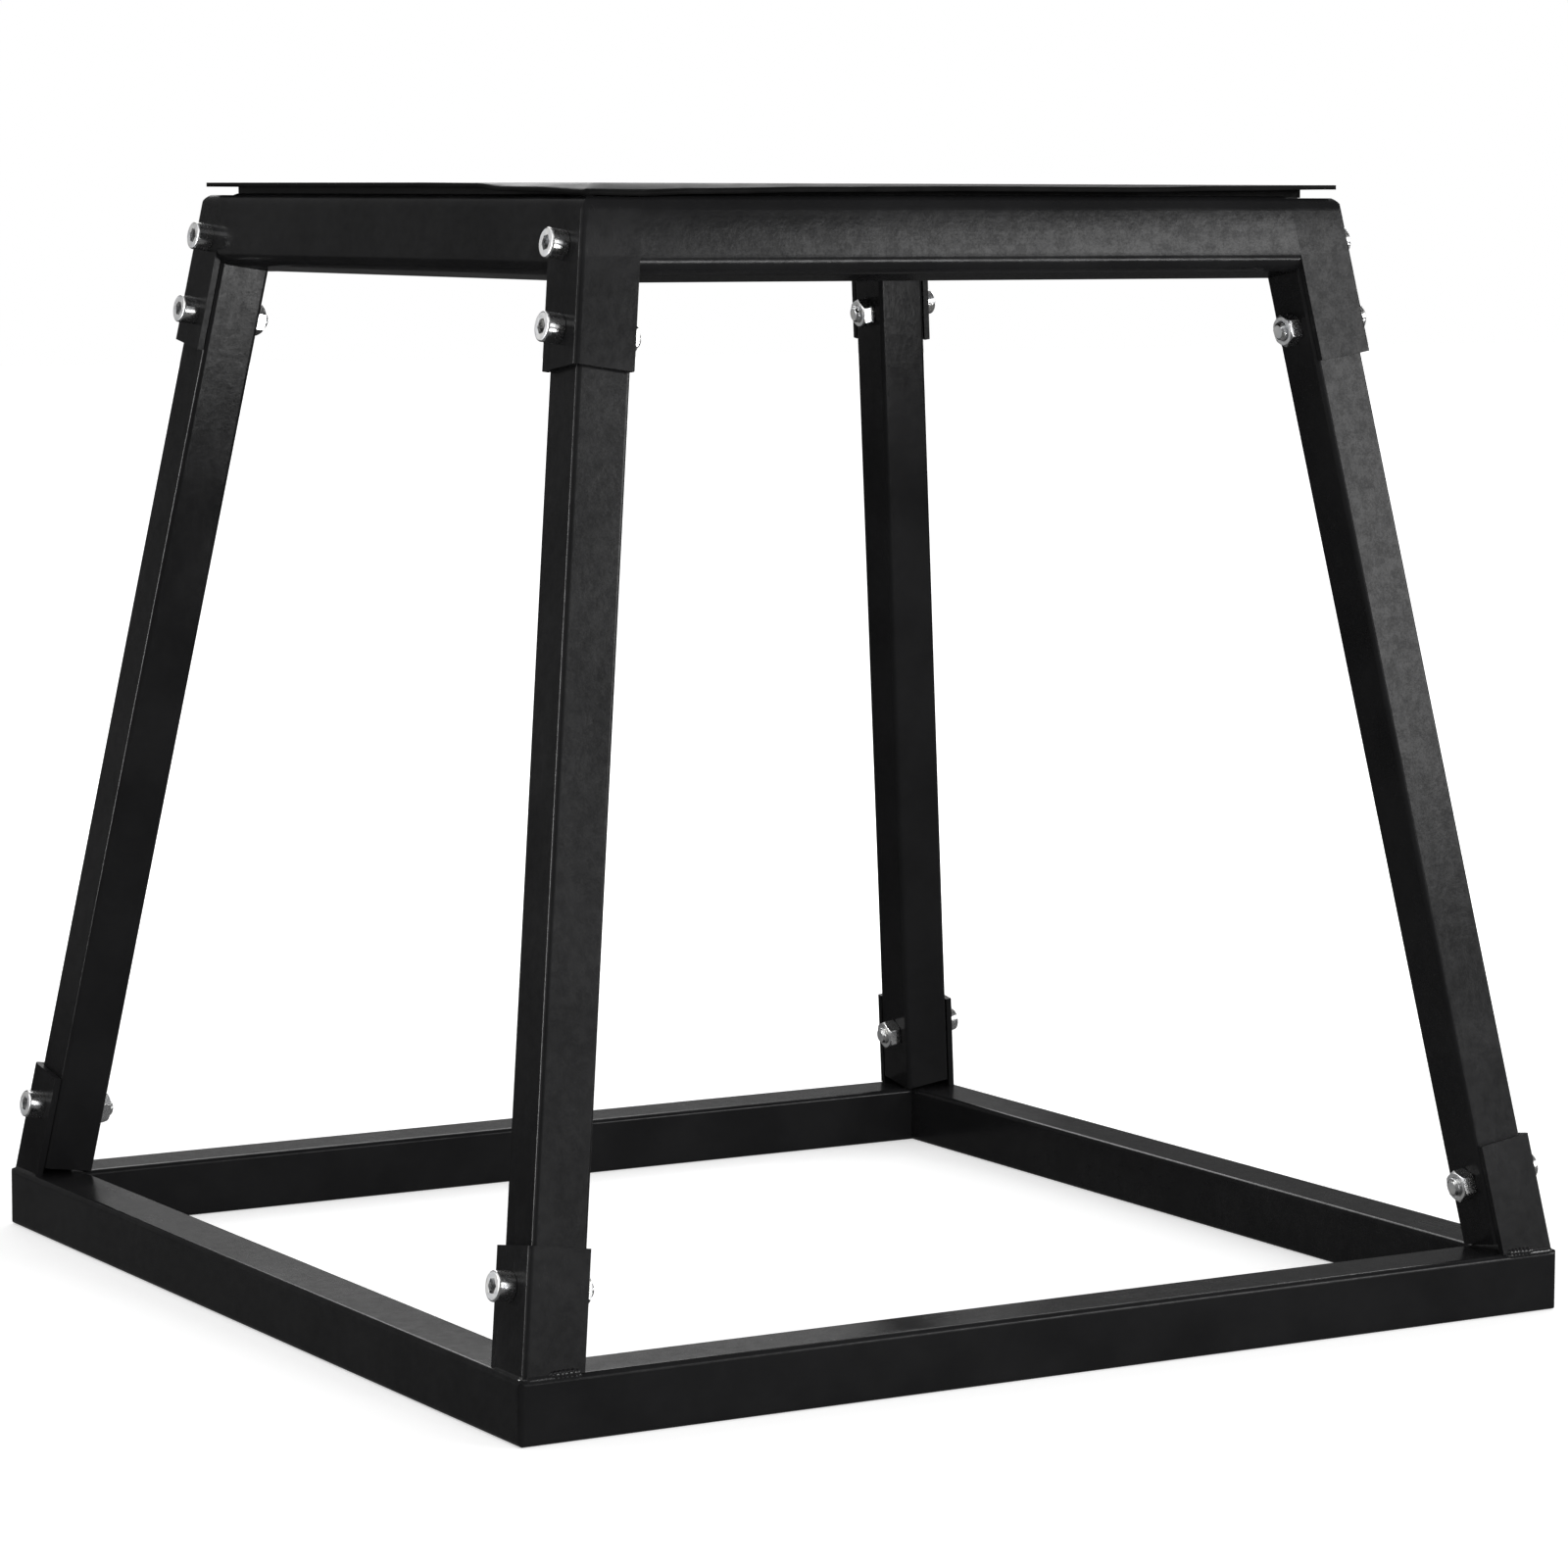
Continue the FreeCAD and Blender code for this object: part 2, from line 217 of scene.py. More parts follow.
# Sizes of the blotches in millimetres
patch_size = 45
cloud_size = 5
edge_patch_size = 7
peel_size = 2.2
streak_size = 1.6
speck_size = 1.1
grit_size = 0.6

# Depths of the bumps in millimetres
cloud_depth = 0.028
peel_depth = 0.022
streak_depth = 0.003
grit_depth = 0.003

streak_dulling = 0.04
dust_dulling = (0.02, 0.06)
edge_patch_range = (0.55, 0.7)
mottle_range = (0.7, 1.3)
shine_spread = 0.3

# Bulge of the top rails' walls in millimetres
wall_bulge = 0.18
wall_flat_half = 9.6
wall_rise = 2.7


def bulging_wall(tree, place, node_name):
    """Normal of a drawn tube's wall, which bulges a little between its corners."""
    low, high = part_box(node_name)
    parts = tree.nodes.new("ShaderNodeSeparateXYZ")
    tree.links.new(place, parts.inputs[0])
    middle = (low.z + high.z) / 2 + wall_rise * MM
    across = tree.nodes.new("ShaderNodeMapRange")
    across.inputs["From Min"].default_value = middle - wall_flat_half * MM
    across.inputs["From Max"].default_value = middle + wall_flat_half * MM
    across.inputs["To Min"].default_value = -1.0
    tree.links.new(parts.outputs["Z"], across.inputs["Value"])
    share = across.outputs["Result"]
    dip = arithmetic(tree, "MULTIPLY", share, share)
    return raise_bumps(tree, arithmetic(tree, "SUBTRACT", 1.0, dip), wall_bulge)


def make_powder_coat(name, stretch, shine, gloss, bulging=None):
    """Powder coat with streaks along one way, and the bulge of a named rail where it has one."""
    material, tree, shader, place = start_finish(name)
    on_edge = soft_edges(tree, edge_band)[1]
    patches = grain(tree, place, patch_size, 3)
    streaks = grain(tree, place, streak_size, 2, stretch)
    clouds = grain(tree, place, cloud_size, 3)
    peel = grain(tree, place, peel_size, 1)
    grit = grain(tree, place, grit_size, 2)
    # Painted highlight and rubbed wear: edges turn greyer in patches
    edge_patches = between(tree, grain(tree, place, edge_patch_size, 4), 0, 1, *edge_patch_range)
    edge_wear_and_highlight = arithmetic(tree, "MULTIPLY", on_edge, edge_patches)
    plain = blend_colours(tree, between(tree, patches, 0, 1), coat_black, coat_grey)
    tree.links.new(blend_colours(tree, edge_wear_and_highlight, plain, coat_worn_highlit_edge), shader.inputs["Base Color"])
    streaky = between(tree, streaks, 0, streak_dulling)
    slow = arithmetic(tree, "ADD", between(tree, patches, *gloss), streaky)
    dull = arithmetic(tree, "MULTIPLY", facing_up(tree), between(tree, patches, *dust_dulling))
    tree.links.new(arithmetic(tree, "ADD", slow, dull), shader.inputs["Roughness"])
    under = bulging_wall(tree, place, bulging) if bulging else None
    lined = raise_bumps(tree, streaks, streak_depth, under)
    cloudy = raise_bumps(tree, clouds, cloud_depth, lined)
    wavy = raise_bumps(tree, peel, peel_depth, cloudy)
    tree.links.new(raise_bumps(tree, grit, grit_depth, wavy), shader.inputs["Normal"])
    mottle = arithmetic(tree, "ADD", clouds, grain(tree, place, speck_size, 3))
    thin = shine * (1 - shine_spread)
    thick = shine * (1 + shine_spread)
    mottled_shine = between(tree, mottle, thin, thick, *mottle_range)
    tree.links.new(mottled_shine, shader.inputs["Specular IOR Level"])
    return material


along_x = (streak_stretch, 1, 1)
along_y = (1, streak_stretch, 1)
along_z = (1, 1, streak_stretch)
coats = {
    "base_x": make_powder_coat("coat_base_x", along_x, tube_shine, tube_gloss),
    "base_y": make_powder_coat("coat_base_y", along_y, tube_shine, tube_gloss),
    "top_x": make_powder_coat("coat_top_x", along_x, tube_shine, tube_gloss, "top_rail_front"),
    "top_y": make_powder_coat("coat_top_y", along_y, tube_shine, tube_gloss, "top_rail_left"),
    "leg": make_powder_coat("coat_leg", along_z, leg_shine, tube_gloss),
    "base_angle": make_powder_coat("coat_base_angle", along_z, angle_shine, angle_gloss),
    "top_angle": make_powder_coat("coat_top_angle", along_z, angle_shine, angle_gloss, "top_rail_front"),
    "weld": make_powder_coat("coat_weld", along_z, weld_shine, weld_gloss),
}
print("made", [coat.name for coat in coats.values()])

# %% [markdown]
# The deck plate under the mat is a plain sheet with a thin matt black coat. It sees little light, so
# a rough finish with hardly any shine is enough.

# %% Matt black for the deck
deck_black = (0.004, 0.004, 0.004)
deck_grey = (0.007, 0.007, 0.007)
deck_gloss = (0.5, 0.7)
deck_shine = 0.1
deck_patch_size = 18
deck_grit_size = 0.8
deck_grit_depth = 0.03


def make_matt_black():
    material, tree, shader, place = start_finish("matt_black")
    patches = grain(tree, place, deck_patch_size, 3)
    grit = grain(tree, place, deck_grit_size, 3)
    colour = blend_colours(tree, between(tree, patches, 0, 1), deck_black, deck_grey)
    tree.links.new(colour, shader.inputs["Base Color"])
    tree.links.new(between(tree, grit, *deck_gloss), shader.inputs["Roughness"])
    tree.links.new(raise_bumps(tree, grit, deck_grit_depth), shader.inputs["Normal"])
    shader.inputs["Specular IOR Level"].default_value = deck_shine
    return material


matt_black = make_matt_black()
print("made", matt_black.name)

# %% [markdown]
# The screws and nuts are bright zinc plate. It is a metal, so its colour sits in the reflection.
# Fine tumbling marks and a faint change of tint keep it from looking like a perfect mirror. Painted shade
# darkens the sockets and other recesses, more where a point sees less of the open space. The forged
# end faces are duller than the rolled sides, so they spread a highlight over the whole ring.

# %% Bright zinc for the screws and nuts
zinc_cool = (0.84, 0.85, 0.87)
zinc_warm = (0.91, 0.905, 0.89)
zinc_recess_shade = (0.06, 0.06, 0.06)
# Colour of the painted shade in the sockets and recesses
recess_reach = 3.0
recess_range = (0.35, 0.75)
recess_rays = 8
zinc_gloss = (0.18, 0.28)
end_dulling = 0.13
zinc_edge = 0.3
tint_size = 5
mark_size = 0.8
mark_depth = 0.002


def facing_sideways(tree, start=0.85, end=0.95):
    """1 on the end faces of the screws and nuts, which look left or right, and 0 on their sides."""
    parts = tree.nodes.new("ShaderNodeSeparateXYZ")
    tree.links.new(tree.nodes.new("ShaderNodeNewGeometry").outputs["True Normal"], parts.inputs[0])
    return between(tree, arithmetic(tree, "ABSOLUTE", parts.outputs["X"], 0), 0, 1, start, end)


def make_bright_zinc():
    material, tree, shader, place = start_finish("bright_zinc")
    rounded = soft_edges(tree, zinc_edge)[0]
    tint = grain(tree, place, tint_size, 3)
    marks = grain(tree, place, mark_size, 3)
    # Painted shade: the colour goes towards near black where ambient occlusion finds a recess
    recess = tree.nodes.new("ShaderNodeAmbientOcclusion")
    recess.samples = recess_rays
    recess.only_local = True
    recess.inputs["Distance"].default_value = recess_reach * MM
    unshaded = between(tree, recess.outputs["AO"], 0, 1, *recess_range)
    colour = blend_colours(tree, between(tree, tint, 0, 1), zinc_cool, zinc_warm)
    tree.links.new(blend_colours(tree, unshaded, zinc_recess_shade, colour), shader.inputs["Base Color"])
    dull_ends = arithmetic(tree, "MULTIPLY", facing_sideways(tree), end_dulling)
    gloss = between(tree, marks, *zinc_gloss)
    tree.links.new(arithmetic(tree, "ADD", gloss, dull_ends), shader.inputs["Roughness"])
    tree.links.new(raise_bumps(tree, marks, mark_depth, rounded), shader.inputs["Normal"])
    shader.inputs["Metallic"].default_value = 1.0
    return material


bright_zinc = make_bright_zinc()
print("made", bright_zinc.name)

# %% [markdown]
# The mat is thin black rubber sheet with a smooth skin. Seen flat on it is black. Seen along its surface it
# shines almost white, as rubber does, which is why the photograph shows a pale line along it. A clear coat
# that only appears at a glancing view makes that line and leaves the rest black. The skin is gently uneven,
# and the cut edge is duller, with faint lines along it.

# %% Rubber for the mat
rubber_black = (0.0045, 0.0045, 0.0045)
rubber_grey = (0.009, 0.009, 0.009)
rubber_gloss = (0.34, 0.44)
cut_dullness = 0.3
rubber_shine = 0.04
dust_size = 24
lump_size = 6
lump_stretch = (1, 1, 0.3)
lump_depth = 0.03
line_size = 0.6
line_stretch = 18
line_depth = 0.02
skin_range = (0.3, 0.8)
sheen_gloss = 0.26
sheen_weight = 0.6
sheen_start = 0.86
sheen_full = 0.96


def glancing(tree, start, end):
    """1 where a surface is seen nearly along itself, 0 where it is seen flat on."""
    weight = tree.nodes.new("ShaderNodeLayerWeight")
    weight.inputs["Blend"].default_value = 0.5
    return between(tree, weight.outputs["Facing"], 0, 1, start, end)


def make_mat_rubber():
    material, tree, shader, place = start_finish("mat_rubber")
    dust = grain(tree, place, dust_size, 4)
    lumps = grain(tree, place, lump_size, 2, lump_stretch)
    lines = grain(tree, place, line_size, 3, (line_stretch, line_stretch, 1))
    colour = blend_colours(tree, between(tree, dust, 0, 1), rubber_black, rubber_grey)
    tree.links.new(colour, shader.inputs["Base Color"])
    skin = facing_up(tree, *skin_range)
    cut = arithmetic(tree, "SUBTRACT", 1.0, skin)
    dull = arithmetic(tree, "MULTIPLY", cut, cut_dullness)
    gloss = between(tree, dust, *rubber_gloss)
    tree.links.new(arithmetic(tree, "ADD", gloss, dull), shader.inputs["Roughness"])
    sheen = arithmetic(tree, "MULTIPLY", skin, glancing(tree, sheen_start, sheen_full))
    tree.links.new(arithmetic(tree, "MULTIPLY", sheen, sheen_weight), shader.inputs["Coat Weight"])
    uneven = raise_bumps(tree, lumps, lump_depth)
    cut_lines = arithmetic(tree, "MULTIPLY", lines, cut)
    tree.links.new(raise_bumps(tree, cut_lines, line_depth, uneven), shader.inputs["Normal"])
    shader.inputs["Specular IOR Level"].default_value = rubber_shine
    shader.inputs["Coat Roughness"].default_value = sheen_gloss
    return material


mat_rubber = make_mat_rubber()
print("made", mat_rubber.name)

# %% [markdown]
# Each CAD node now gets its finish through its own material slot. The node's mesh stays as it is.

# %% Dress the CAD nodes


def pick_finish(name):
    """Finish for a CAD node, from the words of its name."""
    if name.endswith("_screws") or name.endswith("_nuts"):
        return bright_zinc
    if name == "rubber_mat":
        return mat_rubber
    if name == "deck_plate":
        return matt_black
    if "rail" in name:
        way = "x" if name.endswith("front") or name.endswith("back") else "y"
        return coats[name.split("_")[0] + "_" + way]
    kind = name.split("_front")[0].split("_back")[0]
    return coats[kind]


for name, node in nodes.items():
    node.data.materials.clear()
    node.data.materials.append(pick_finish(name))
print("dressed", len(nodes), "nodes")

# %% [markdown]
# New pieces are drawn in a bmesh and turned into an object at the origin, so that their place is in
# the mesh, as it is for the CAD nodes. Each one rides on the only body that this box has.

# %% Helper for new pieces


def add_piece(name, bm, finish):
    """Smooth mesh object from a bmesh, with a finish, that rides on the body."""
    bmesh.ops.recalc_face_normals(bm, faces=bm.faces)
    for face in bm.faces:
        face.smooth = True
    mesh = bpy.data.meshes.new(name)
    bm.to_mesh(mesh)
    bm.free()
    mesh.materials.append(finish)
    piece = bpy.data.objects.new(name, mesh)
    bpy.context.scene.collection.objects.link(piece)
    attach(piece, "root")
    print(name, len(mesh.polygons), "faces")
    return piece


# %% [markdown]
# The mat lies flat where the deck carries it. Its rim hangs over the deck's edge and has taken a set:
# at the front left it droops onto the frame, and towards the other corners it stands off the frame.
# A cloth simulation could drop it, but it would droop evenly. A grid with a rim that sinks by a few
# measured amounts follows the real one.

# %% Rubber mat
mat_low, mat_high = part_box("rubber_mat")
deck_low, deck_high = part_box("deck_plate")
mat_thickness = mat_high.z - mat_low.z
mat_step = 2.3 * MM
mat_relief = 0.05 * MM
relief_size = 5 * MM
droop_curve = 1.25

# Droop of the rim in millimetres at places along it, from one end of the edge (0) to the other (1)
front_droop = [(0, 3.2), (0.07, 3.5), (0.14, 2.7), (0.3, 1.7), (0.5, 1.2), (0.72, 1.4), (0.85, 0.6), (1, 0)]
left_droop = [(0, 3.2), (0.12, 2.0), (0.2, 1.8), (0.26, 0.3), (0.4, 0), (1, 0)]
right_droop = [(0, 0), (0.3, 0.5), (0.6, 0.9), (1, 0.2)]
back_droop = [(0, 0), (0.35, 0.7), (0.7, 0.4), (1, 0.2)]


def read_curve(points, share):
    """Value of a smooth curve through a few points."""
    for (start, low), (end, high) in zip(points[:-1], points[1:]):
        if share <= end:
            t = (share - start) / (end - start)
            t = t * t * (3 - 2 * t)
            return low + (high - low) * t
    return points[-1][1]


def rim_sink(point):
    """How far the mat's rim sinks at a point, in metres."""
    share_x = (point.x - mat_low.x) / (mat_high.x - mat_low.x)
    share_y = (point.y - mat_low.y) / (mat_high.y - mat_low.y)
    edges = (
        (deck_low.y - point.y, deck_low.y - mat_low.y, front_droop, share_x),
        (deck_low.x - point.x, deck_low.x - mat_low.x, left_droop, share_y),
        (point.x - deck_high.x, mat_high.x - deck_high.x, right_droop, share_y),
        (point.y - deck_high.y, mat_high.y - deck_high.y, back_droop, share_x),
    )
    sinks = []
    for beyond, overhang, curve, share in edges:
        if beyond > 0:
            sinks.append(read_curve(curve, share) * MM * (beyond / overhang) ** droop_curve)
    return max(sinks, default=0.0)


def make_mat():
    bm = bmesh.new()
    size = mat_high - mat_low
    middle = (mat_low + mat_high) / 2
    steps_x = round(size.x / mat_step)
    steps_y = round(size.y / mat_step)
    bmesh.ops.create_grid(bm, x_segments=steps_x, y_segments=steps_y, size=0.5)
    bmesh.ops.scale(bm, vec=(size.x, size.y, 1), verts=bm.verts)
    bmesh.ops.translate(bm, vec=(middle.x, middle.y, mat_low.z), verts=bm.verts)
    top = bmesh.ops.extrude_face_region(bm, geom=bm.faces[:])["geom"]
    top_verts = [item for item in top if isinstance(item, bmesh.types.BMVert)]
    bmesh.ops.translate(bm, vec=(0, 0, mat_thickness), verts=top_verts)
    for vert in top_verts:
        swell = noise.noise(vert.co / relief_size)
        vert.co.z -= mat_relief * (1 - swell) / 2
    for vert in bm.verts:
        vert.co.z -= rim_sink(vert.co)
    return bm


mat = add_piece("landing_mat", make_mat(), mat_rubber)
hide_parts("rubber_mat")

# %% [markdown]
# The base angles are welded to the ring. Most of each weld was ground nearly flush before painting, and it
# fills the corner under the flange. At the free end of each front and back flange a short run was left
# rough, with the ripples of the frozen puddles. A ring of points, drawn out along the seam and then swelled
# and pinched along its length, gives both.

# %% Welds at the feet of the angles
weld_step = 0.35 * MM
weld_sides = 16
ripple_pitch = 2.1 * MM
flange_width = 27.5 * MM
ground_radius = 2.0 * MM
ground_ripple = 0.02
ground_tuck = 1.0 * MM
ground_drop = 0.9 * MM
rough_radius = 1.7 * MM
rough_ripple = 0.3
rough_share = (0.42, 0.96)
rough_tuck = 0.3 * MM
rough_rise = 0.6 * MM
blunt_end = 0.08
ripple_wander = 0.8
lump_spread = 1.5 * ripple_pitch


def draw_weld(bm, start, end, radius, ripple):
    """Bead from start to end, rounded off at both ends, with ripples along it."""
    along = (end - start).normalized()
    length = (end - start).length
    steps = round(length / weld_step)
    turn = Matrix.Translation(start) @ along.to_track_quat("Z", "Y").to_matrix().to_4x4()
    ring = bmesh.ops.create_circle(bm, segments=weld_sides, radius=radius, matrix=turn)["verts"]
    loop = list({edge for vert in ring for edge in vert.link_edges})
    before = set(bm.verts) - set(ring)
    stride = along * (length / steps)
    bmesh.ops.spin(bm, geom=ring + loop, cent=start, axis=along, dvec=stride, angle=0, steps=steps)
    bead = [vert for vert in bm.verts if vert not in before]
    for vert in bead:
        travel = (vert.co - start).dot(along)
        centre = start + along * travel
        to_end = min(travel, length - travel) / (2 * radius)
        taper = math.sqrt(max(blunt_end, 1 - max(0.0, 1 - to_end) ** 2))
        wander = ripple_wander * noise.noise(centre / ripple_pitch)
        wave = abs(math.sin(math.pi * travel / ripple_pitch + wander))
        lump = noise.noise(vert.co / lump_spread)
        vert.co = centre + (vert.co - centre) * taper * (1 + ripple * (wave - 0.5 + 0.5 * lump))
    rims = [edge for edge in bm.edges if edge.is_boundary]
    bmesh.ops.holes_fill(bm, edges=rims, sides=weld_sides)


def make_welds(corner_name):
    """Ground seams under both flanges of one base angle, and the rough run on its front or back flange."""
    low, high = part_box("base_angle_" + corner_name)
    inward_x = 1 if "left" in corner_name else -1
    inward_y = 1 if "front" in corner_name else -1
    corner = Vector((low.x if inward_x > 0 else high.x, low.y if inward_y > 0 else high.y, low.z))
    across = Vector((inward_x, 0, 0))
    back = Vector((0, inward_y, 0))
    bm = bmesh.new()
    foot = corner - Vector((0, 0, ground_drop))
    seam = foot + back * ground_tuck
    draw_weld(bm, seam, seam + across * flange_width, ground_radius, ground_ripple)
    side_seam = foot + across * ground_tuck
    draw_weld(bm, side_seam, side_seam + back * flange_width, ground_radius, ground_ripple)
    rough = corner + back * rough_tuck + Vector((0, 0, rough_rise))
    ends = [rough + across * flange_width * share for share in rough_share]
    draw_weld(bm, *ends, rough_radius, rough_ripple)
    return bm


for corner_name in ("front_left", "front_right", "back_left", "back_right"):
    add_piece("weld_" + corner_name, make_welds(corner_name), coats["weld"])

# %% [markdown]
# A nut never hides the whole thread: a turn or two stands out past it. The CAD screw ends in a plain
# cylinder, so a small ridge is wound round the bare end. One triangle, spun and moved on at the same
# time, makes a true helix.

# %% Thread on the bare screw ends
thread_pitch = 1.25 * MM
thread_height = 0.26 * MM
thread_root = 0.2 * MM
thread_width = 0.84 * thread_pitch
thread_turns = 1.6
steps_per_turn = 28
screw_radius = 4 * MM
thread_start = 0.95 * MM
tip_band = 0.05 * MM

# Side and height of a triangle drawn in a circle of radius 1
triangle_side = math.sqrt(3)
triangle_height = 1.5

# Half the width and depth of the frame at the feet and at the tops of the legs, and the height between
foot_half = Vector((264.25, 267.2, 0)) * MM
top_half = Vector((193.6, 189.3, 0)) * MM
leg_rise = 475 * MM


def screw_direction(sign_x, sign_y):
    """Way that a screw's head points: square to the side of its leaning leg."""
    lean = (foot_half - top_half) / leg_rise
    side = Vector((sign_x, 0, lean.x)).normalized()
    end = Vector((0, sign_y, lean.y)).normalized()
    outward = (side + end).normalized()
    across = (side - end).normalized()
    return (outward + across).normalized()


def screw_tip(node, sign_x, sign_y):
    """Centre of the flat end of one of the four screws in a node."""
    out = screw_direction(sign_x, sign_y)
    points = [v.co for v in node.data.vertices if v.co.x * sign_x > 0 and v.co.y * sign_y > 0]
    deepest = min(p.dot(out) for p in points)
    ring = [p for p in points if p.dot(out) < deepest + tip_band]
    return sum(ring, Vector()) / len(ring), out


def wind_thread(bm, tip, out):
    """Helical ridge round a screw's bare end."""
    turn = Matrix.Translation(tip) @ out.to_track_quat("Z", "Y").to_matrix().to_4x4()
    depth = thread_root + thread_height

    # Turns the triangle's point away from the screw and lays its foot along the screw
    stand = Matrix((
        (0, depth / triangle_height, 0, screw_radius - thread_root + depth / 3),
        (0, 0, 1, 0),
        (thread_width / triangle_side, 0, 0, thread_start),
        (0, 0, 0, 1),
    ))
    triangle = bmesh.ops.create_circle(bm, cap_ends=True, segments=3, radius=1, matrix=turn @ stand)
    corners = triangle["verts"]
    section = corners[0].link_faces[0]
    steps = round(thread_turns * steps_per_turn)
    bmesh.ops.spin(
        bm, geom=corners + list(section.edges) + [section], cent=tip, axis=out,
        dvec=out * (thread_pitch / steps_per_turn), angle=thread_turns * math.tau, steps=steps,
    )


for place_name in ("base_screws", "top_lower_screws", "top_upper_screws"):
    threads = bmesh.new()
    for sign_x in (-1, 1):
        for sign_y in (-1, 1):
            wind_thread(threads, *screw_tip(nodes[place_name], sign_x, sign_y))
    add_piece(place_name[:-1] + "_thread", threads, bright_zinc)

# %% [markdown]
# The studio is a white floor in a white room. The camera sees pure white behind the box, and the floor
# still shows the soft shadow of the ring. The white is made with rays: a ray from the camera or from
# a shiny surface meets a white room, while the light that falls on the box stays at a lower level.

# %% Studio floor and room
floor_half = 12.0
floor_white = 0.8

# Glow of the floor near the box and far from it, and how near and how far in metres
floor_glow_near = 0.50
floor_glow_far = 1.0
near_floor = 0.45
far_floor = 1.3

room_fill = 0.45
floor_patch_size = 400
floor_patch_tone = 0.01


def seen_ray(tree):
    """1 for rays that come from the camera, from a shiny surface or through glass."""
    rays = tree.nodes.new("ShaderNodeLightPath").outputs
    seen = arithmetic(tree, "MAXIMUM", rays["Is Camera Ray"], rays["Is Glossy Ray"])
    return arithmetic(tree, "MAXIMUM", seen, rays["Is Transmission Ray"])


def make_floor():
    bm = bmesh.new()
    bmesh.ops.create_grid(bm, x_segments=1, y_segments=1, size=floor_half)
    mesh = bpy.data.meshes.new("studio_floor")
    bm.to_mesh(mesh)
    bm.free()
    material, tree, shader, place = start_finish("studio_floor")
    tone = grain(tree, place, floor_patch_size)
    duller = (floor_white - floor_patch_tone,) * 3
    tree.links.new(blend_colours(tree, tone, duller, (floor_white,) * 3), shader.inputs["Base Color"])
    shader.inputs["Roughness"].default_value = 1.0
    shader.inputs["Specular IOR Level"].default_value = 0.0
    away = tree.nodes.new("ShaderNodeVectorMath")
    away.operation = "LENGTH"
    tree.links.new(place, away.inputs[0])
    glow = between(tree, away.outputs["Value"], floor_glow_near, floor_glow_far, near_floor, far_floor)
    seen = seen_ray(tree)
    shader.inputs["Emission Color"].default_value = (1, 1, 1, 1)
    tree.links.new(arithmetic(tree, "MULTIPLY", glow, seen), shader.inputs["Emission Strength"])
    mesh.materials.append(material)
    floor = bpy.data.objects.new("studio_floor", mesh)
    bpy.context.scene.collection.objects.link(floor)


def make_room():
    world = bpy.data.worlds.new("studio_room")
    world.use_nodes = True
    tree = world.node_tree
    tree.nodes.clear()
    seen = seen_ray(tree)
    fill = tree.nodes.new("ShaderNodeBackground")
    fill.inputs["Strength"].default_value = room_fill
    white = tree.nodes.new("ShaderNodeBackground")
    for background in (fill, white):
        background.inputs["Color"].default_value = (1, 1, 1, 1)
    mix = tree.nodes.new("ShaderNodeMixShader")
    tree.links.new(seen, mix.inputs["Fac"])
    tree.links.new(fill.outputs[0], mix.inputs[1])
    tree.links.new(white.outputs[0], mix.inputs[2])
    output = tree.nodes.new("ShaderNodeOutputWorld")
    tree.links.new(mix.outputs[0], output.inputs["Surface"])
    bpy.context.scene.world = world


make_floor()
make_room()
bpy.context.scene.view_settings.view_transform = "Standard"
print("floor and room ready")

# %% [markdown]
# Lamps and flags are placed by compass: an angle round the box from straight behind it towards its right,
# a height angle, and a distance. That makes it easy to think in reflections. A broad lamp at the front
# right puts the long pale gradient on the front rail. A strip at the left draws the thin light lines on
# the upright edges, and a panel on the floor the bright line along the rail's lower edge: both are only
# seen in reflections. A fill at the front leaves no reflection and lifts the inner faces. Grey cards,
# which only reflections can see, keep the black paint black and draw dark bars in the bright screws,
# as a product photographer's flags do.

# %% Lamps and flags
aim_point = Vector((0, 0, 0.45))
floor_card_height = 0.0005
floor_panel_spot = (0.57, -1.22, 0.02)
floor_panel_place = Matrix.Translation(floor_panel_spot) @ Matrix.Rotation(math.pi, 4, "X")
floor_side = 2 * floor_half
dark_floor_start = 0.4


def facing(angle, rise, distance):
    """Matrix of a card or lamp that looks back at the aim point."""
    angle = math.radians(angle)
    rise = math.radians(rise)
    away = Vector((math.sin(angle) * math.cos(rise), math.cos(angle) * math.cos(rise), math.sin(rise)))
    turn = away.to_track_quat("Z", "Y").to_matrix().to_4x4()
    return Matrix.Translation(aim_point + away * distance) @ turn


def add_lamp(name, place, width, height, power, mirrored=True, shines=True):
    """Rectangular lamp. Not mirrored, it leaves no reflection. Not shining, it only shows in them."""
    lamp = bpy.data.lights.new(name, "AREA")
    lamp.shape = "RECTANGLE"
    lamp.size = width
    lamp.size_y = height
    lamp.energy = power
    holder = bpy.data.objects.new(name, lamp)
    holder.matrix_world = place
    holder.visible_glossy = mirrored
    holder.visible_diffuse = shines
    bpy.context.scene.collection.objects.link(holder)


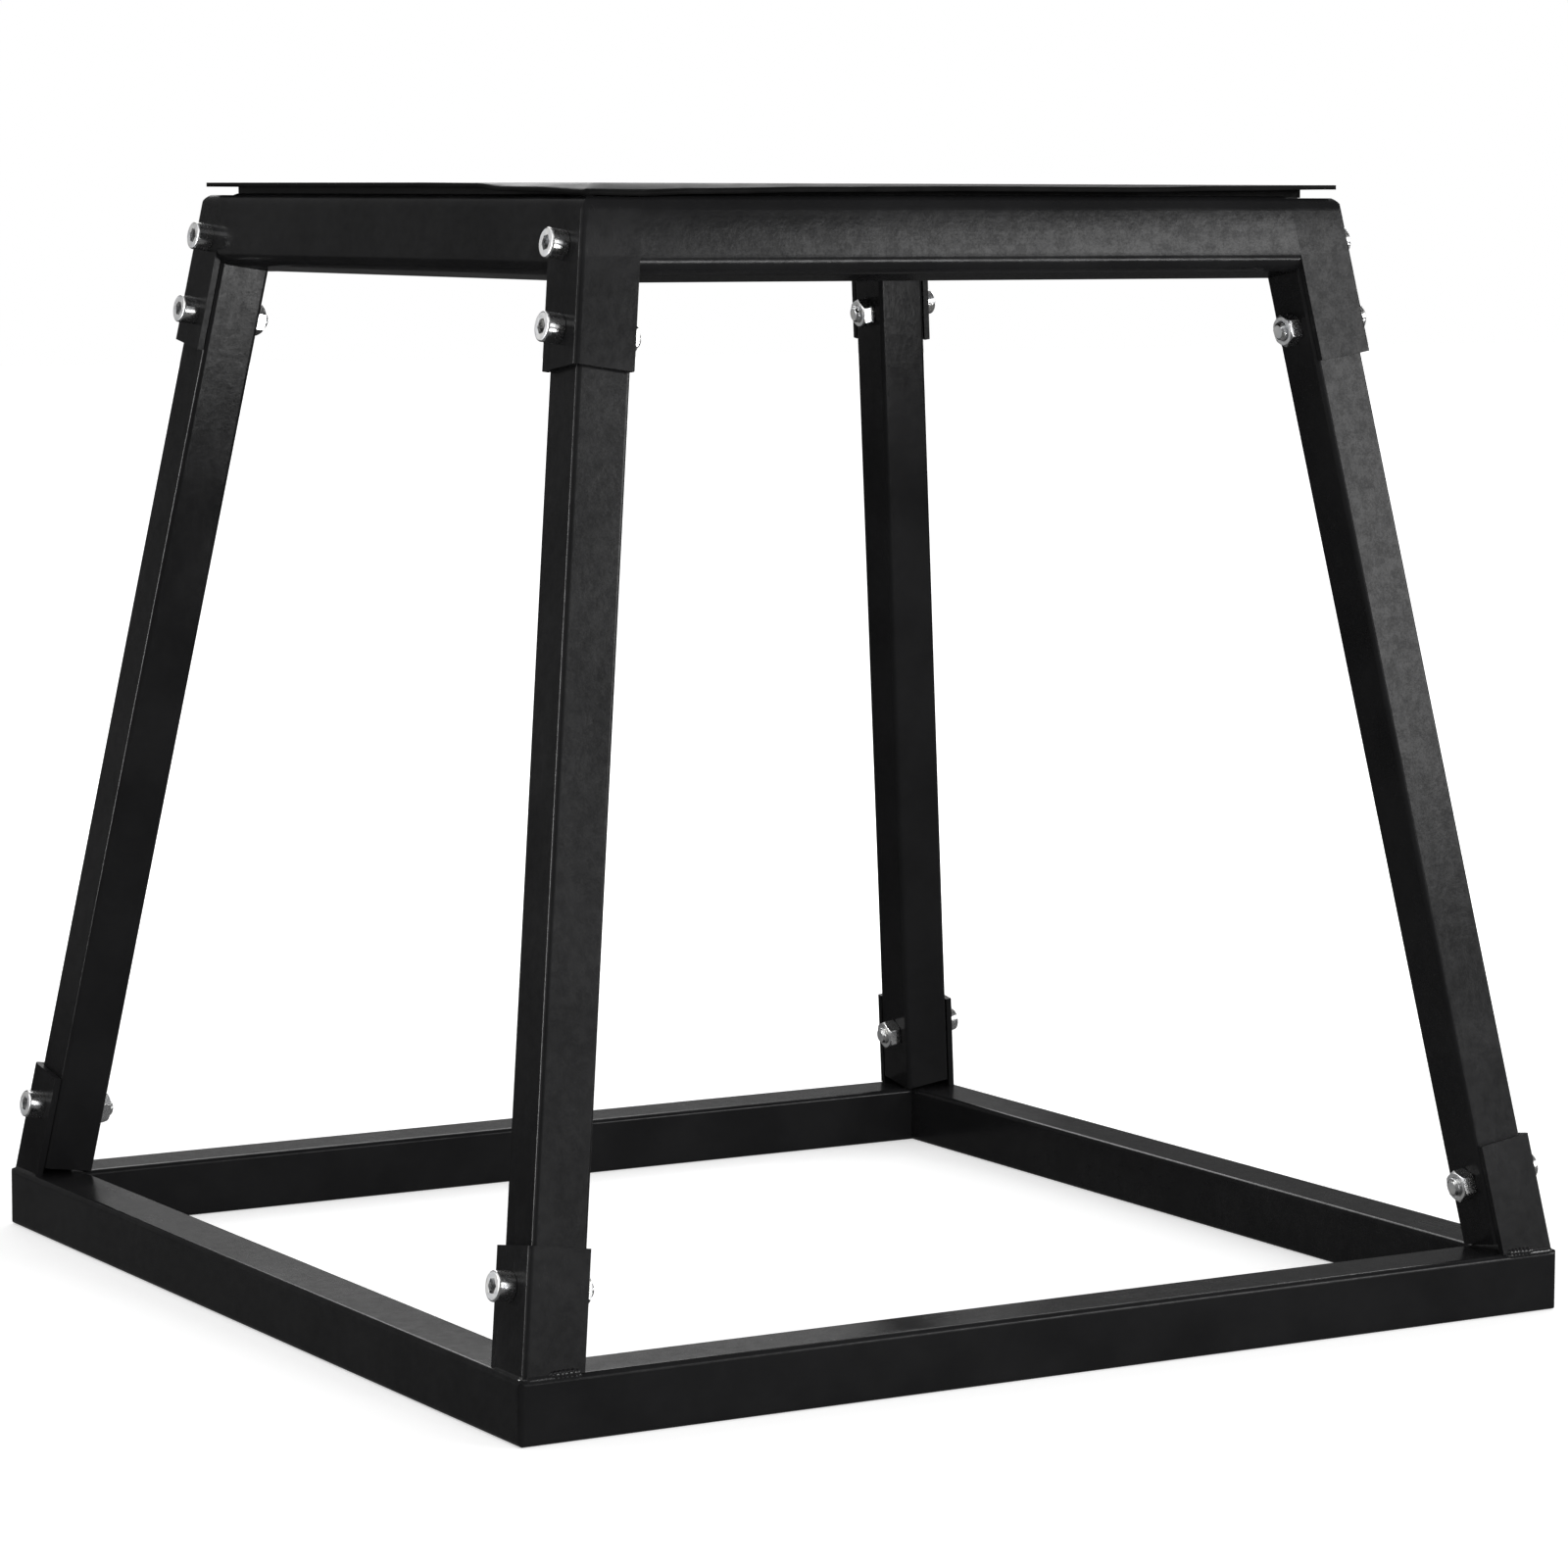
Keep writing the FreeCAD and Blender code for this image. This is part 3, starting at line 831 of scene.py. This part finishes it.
def add_flag(name, place, width, height, tone):
    """Grey card that only reflections see: it casts no shadow and dims no other light."""
    bm = bmesh.new()
    bmesh.ops.create_grid(bm, x_segments=1, y_segments=1, size=0.5)
    bmesh.ops.scale(bm, vec=(width, height, 1), verts=bm.verts)
    bmesh.ops.transform(bm, matrix=place, verts=bm.verts)
    mesh = bpy.data.meshes.new(name)
    bm.to_mesh(mesh)
    bm.free()
    material = start_finish(name)[0]
    shader = material.node_tree.nodes["Principled BSDF"]
    shader.inputs["Base Color"].default_value = (0, 0, 0, 1)
    shader.inputs["Specular IOR Level"].default_value = 0.0
    shader.inputs["Emission Color"].default_value = (tone, tone, tone, 1)
    shader.inputs["Emission Strength"].default_value = 1.0
    mesh.materials.append(material)
    flag = bpy.data.objects.new(name, mesh)
    for ray in ("camera", "diffuse", "shadow", "transmission", "volume_scatter"):
        setattr(flag, "visible_" + ray, False)
    bpy.context.scene.collection.objects.link(flag)


add_lamp("front_right_softbox", facing(133.0, 9.7, 3.0), width=2.0, height=0.71, power=27)
add_lamp("floor_panel", floor_panel_place, width=0.9, height=0.5, power=16, shines=False)
add_lamp("left_strip", facing(-62, 2.5, 3.0), width=0.45, height=0.9, power=33, shines=False)
add_lamp("right_strip", facing(60, 14, 1.9), width=0.15, height=1.2, power=5)
add_lamp("back_top_softbox", facing(30, 30, 2.8), width=2.4, height=1.3, power=21)
add_lamp("top_softbox", facing(-40, 80, 2.3), width=2.0, height=2.0, power=10)
add_lamp("front_fill", facing(190, 12, 3.0), width=1.6, height=1.6, power=44, mirrored=False)
add_flag("left_flag", facing(-25, 12, 2.0), width=1.9, height=1.7, tone=0.16)
add_flag("right_flag", facing(70, 12, 2.0), width=2.8, height=1.4, tone=0.12)
add_flag("back_flag", facing(28, 5.5, 2.4), width=2.6, height=0.56, tone=0.38)
add_flag("back_low_flag", facing(28, -6.6, 2.4), width=2.6, height=0.45, tone=0.06)
add_flag("front_top_flag", facing(150, 43, 2.0), width=3.0, height=2.0, tone=0.1)
add_flag("camera_flag", facing(215, 10, 2.0), width=2.4, height=1.6, tone=0.15)
add_flag("ceiling_flag", facing(30, 88, 1.9), width=2.4, height=2.4, tone=0.12)
on_floor = Matrix.Translation((0, 0, floor_card_height))
behind_box = Matrix.Translation((0, floor_half / 2 + dark_floor_start, 2 * floor_card_height))
add_flag("floor_flag", on_floor, width=floor_side, height=floor_side, tone=0.12)
add_flag("back_floor_flag", behind_box, width=floor_side, height=floor_half, tone=0.03)
print("lamps and flags ready")
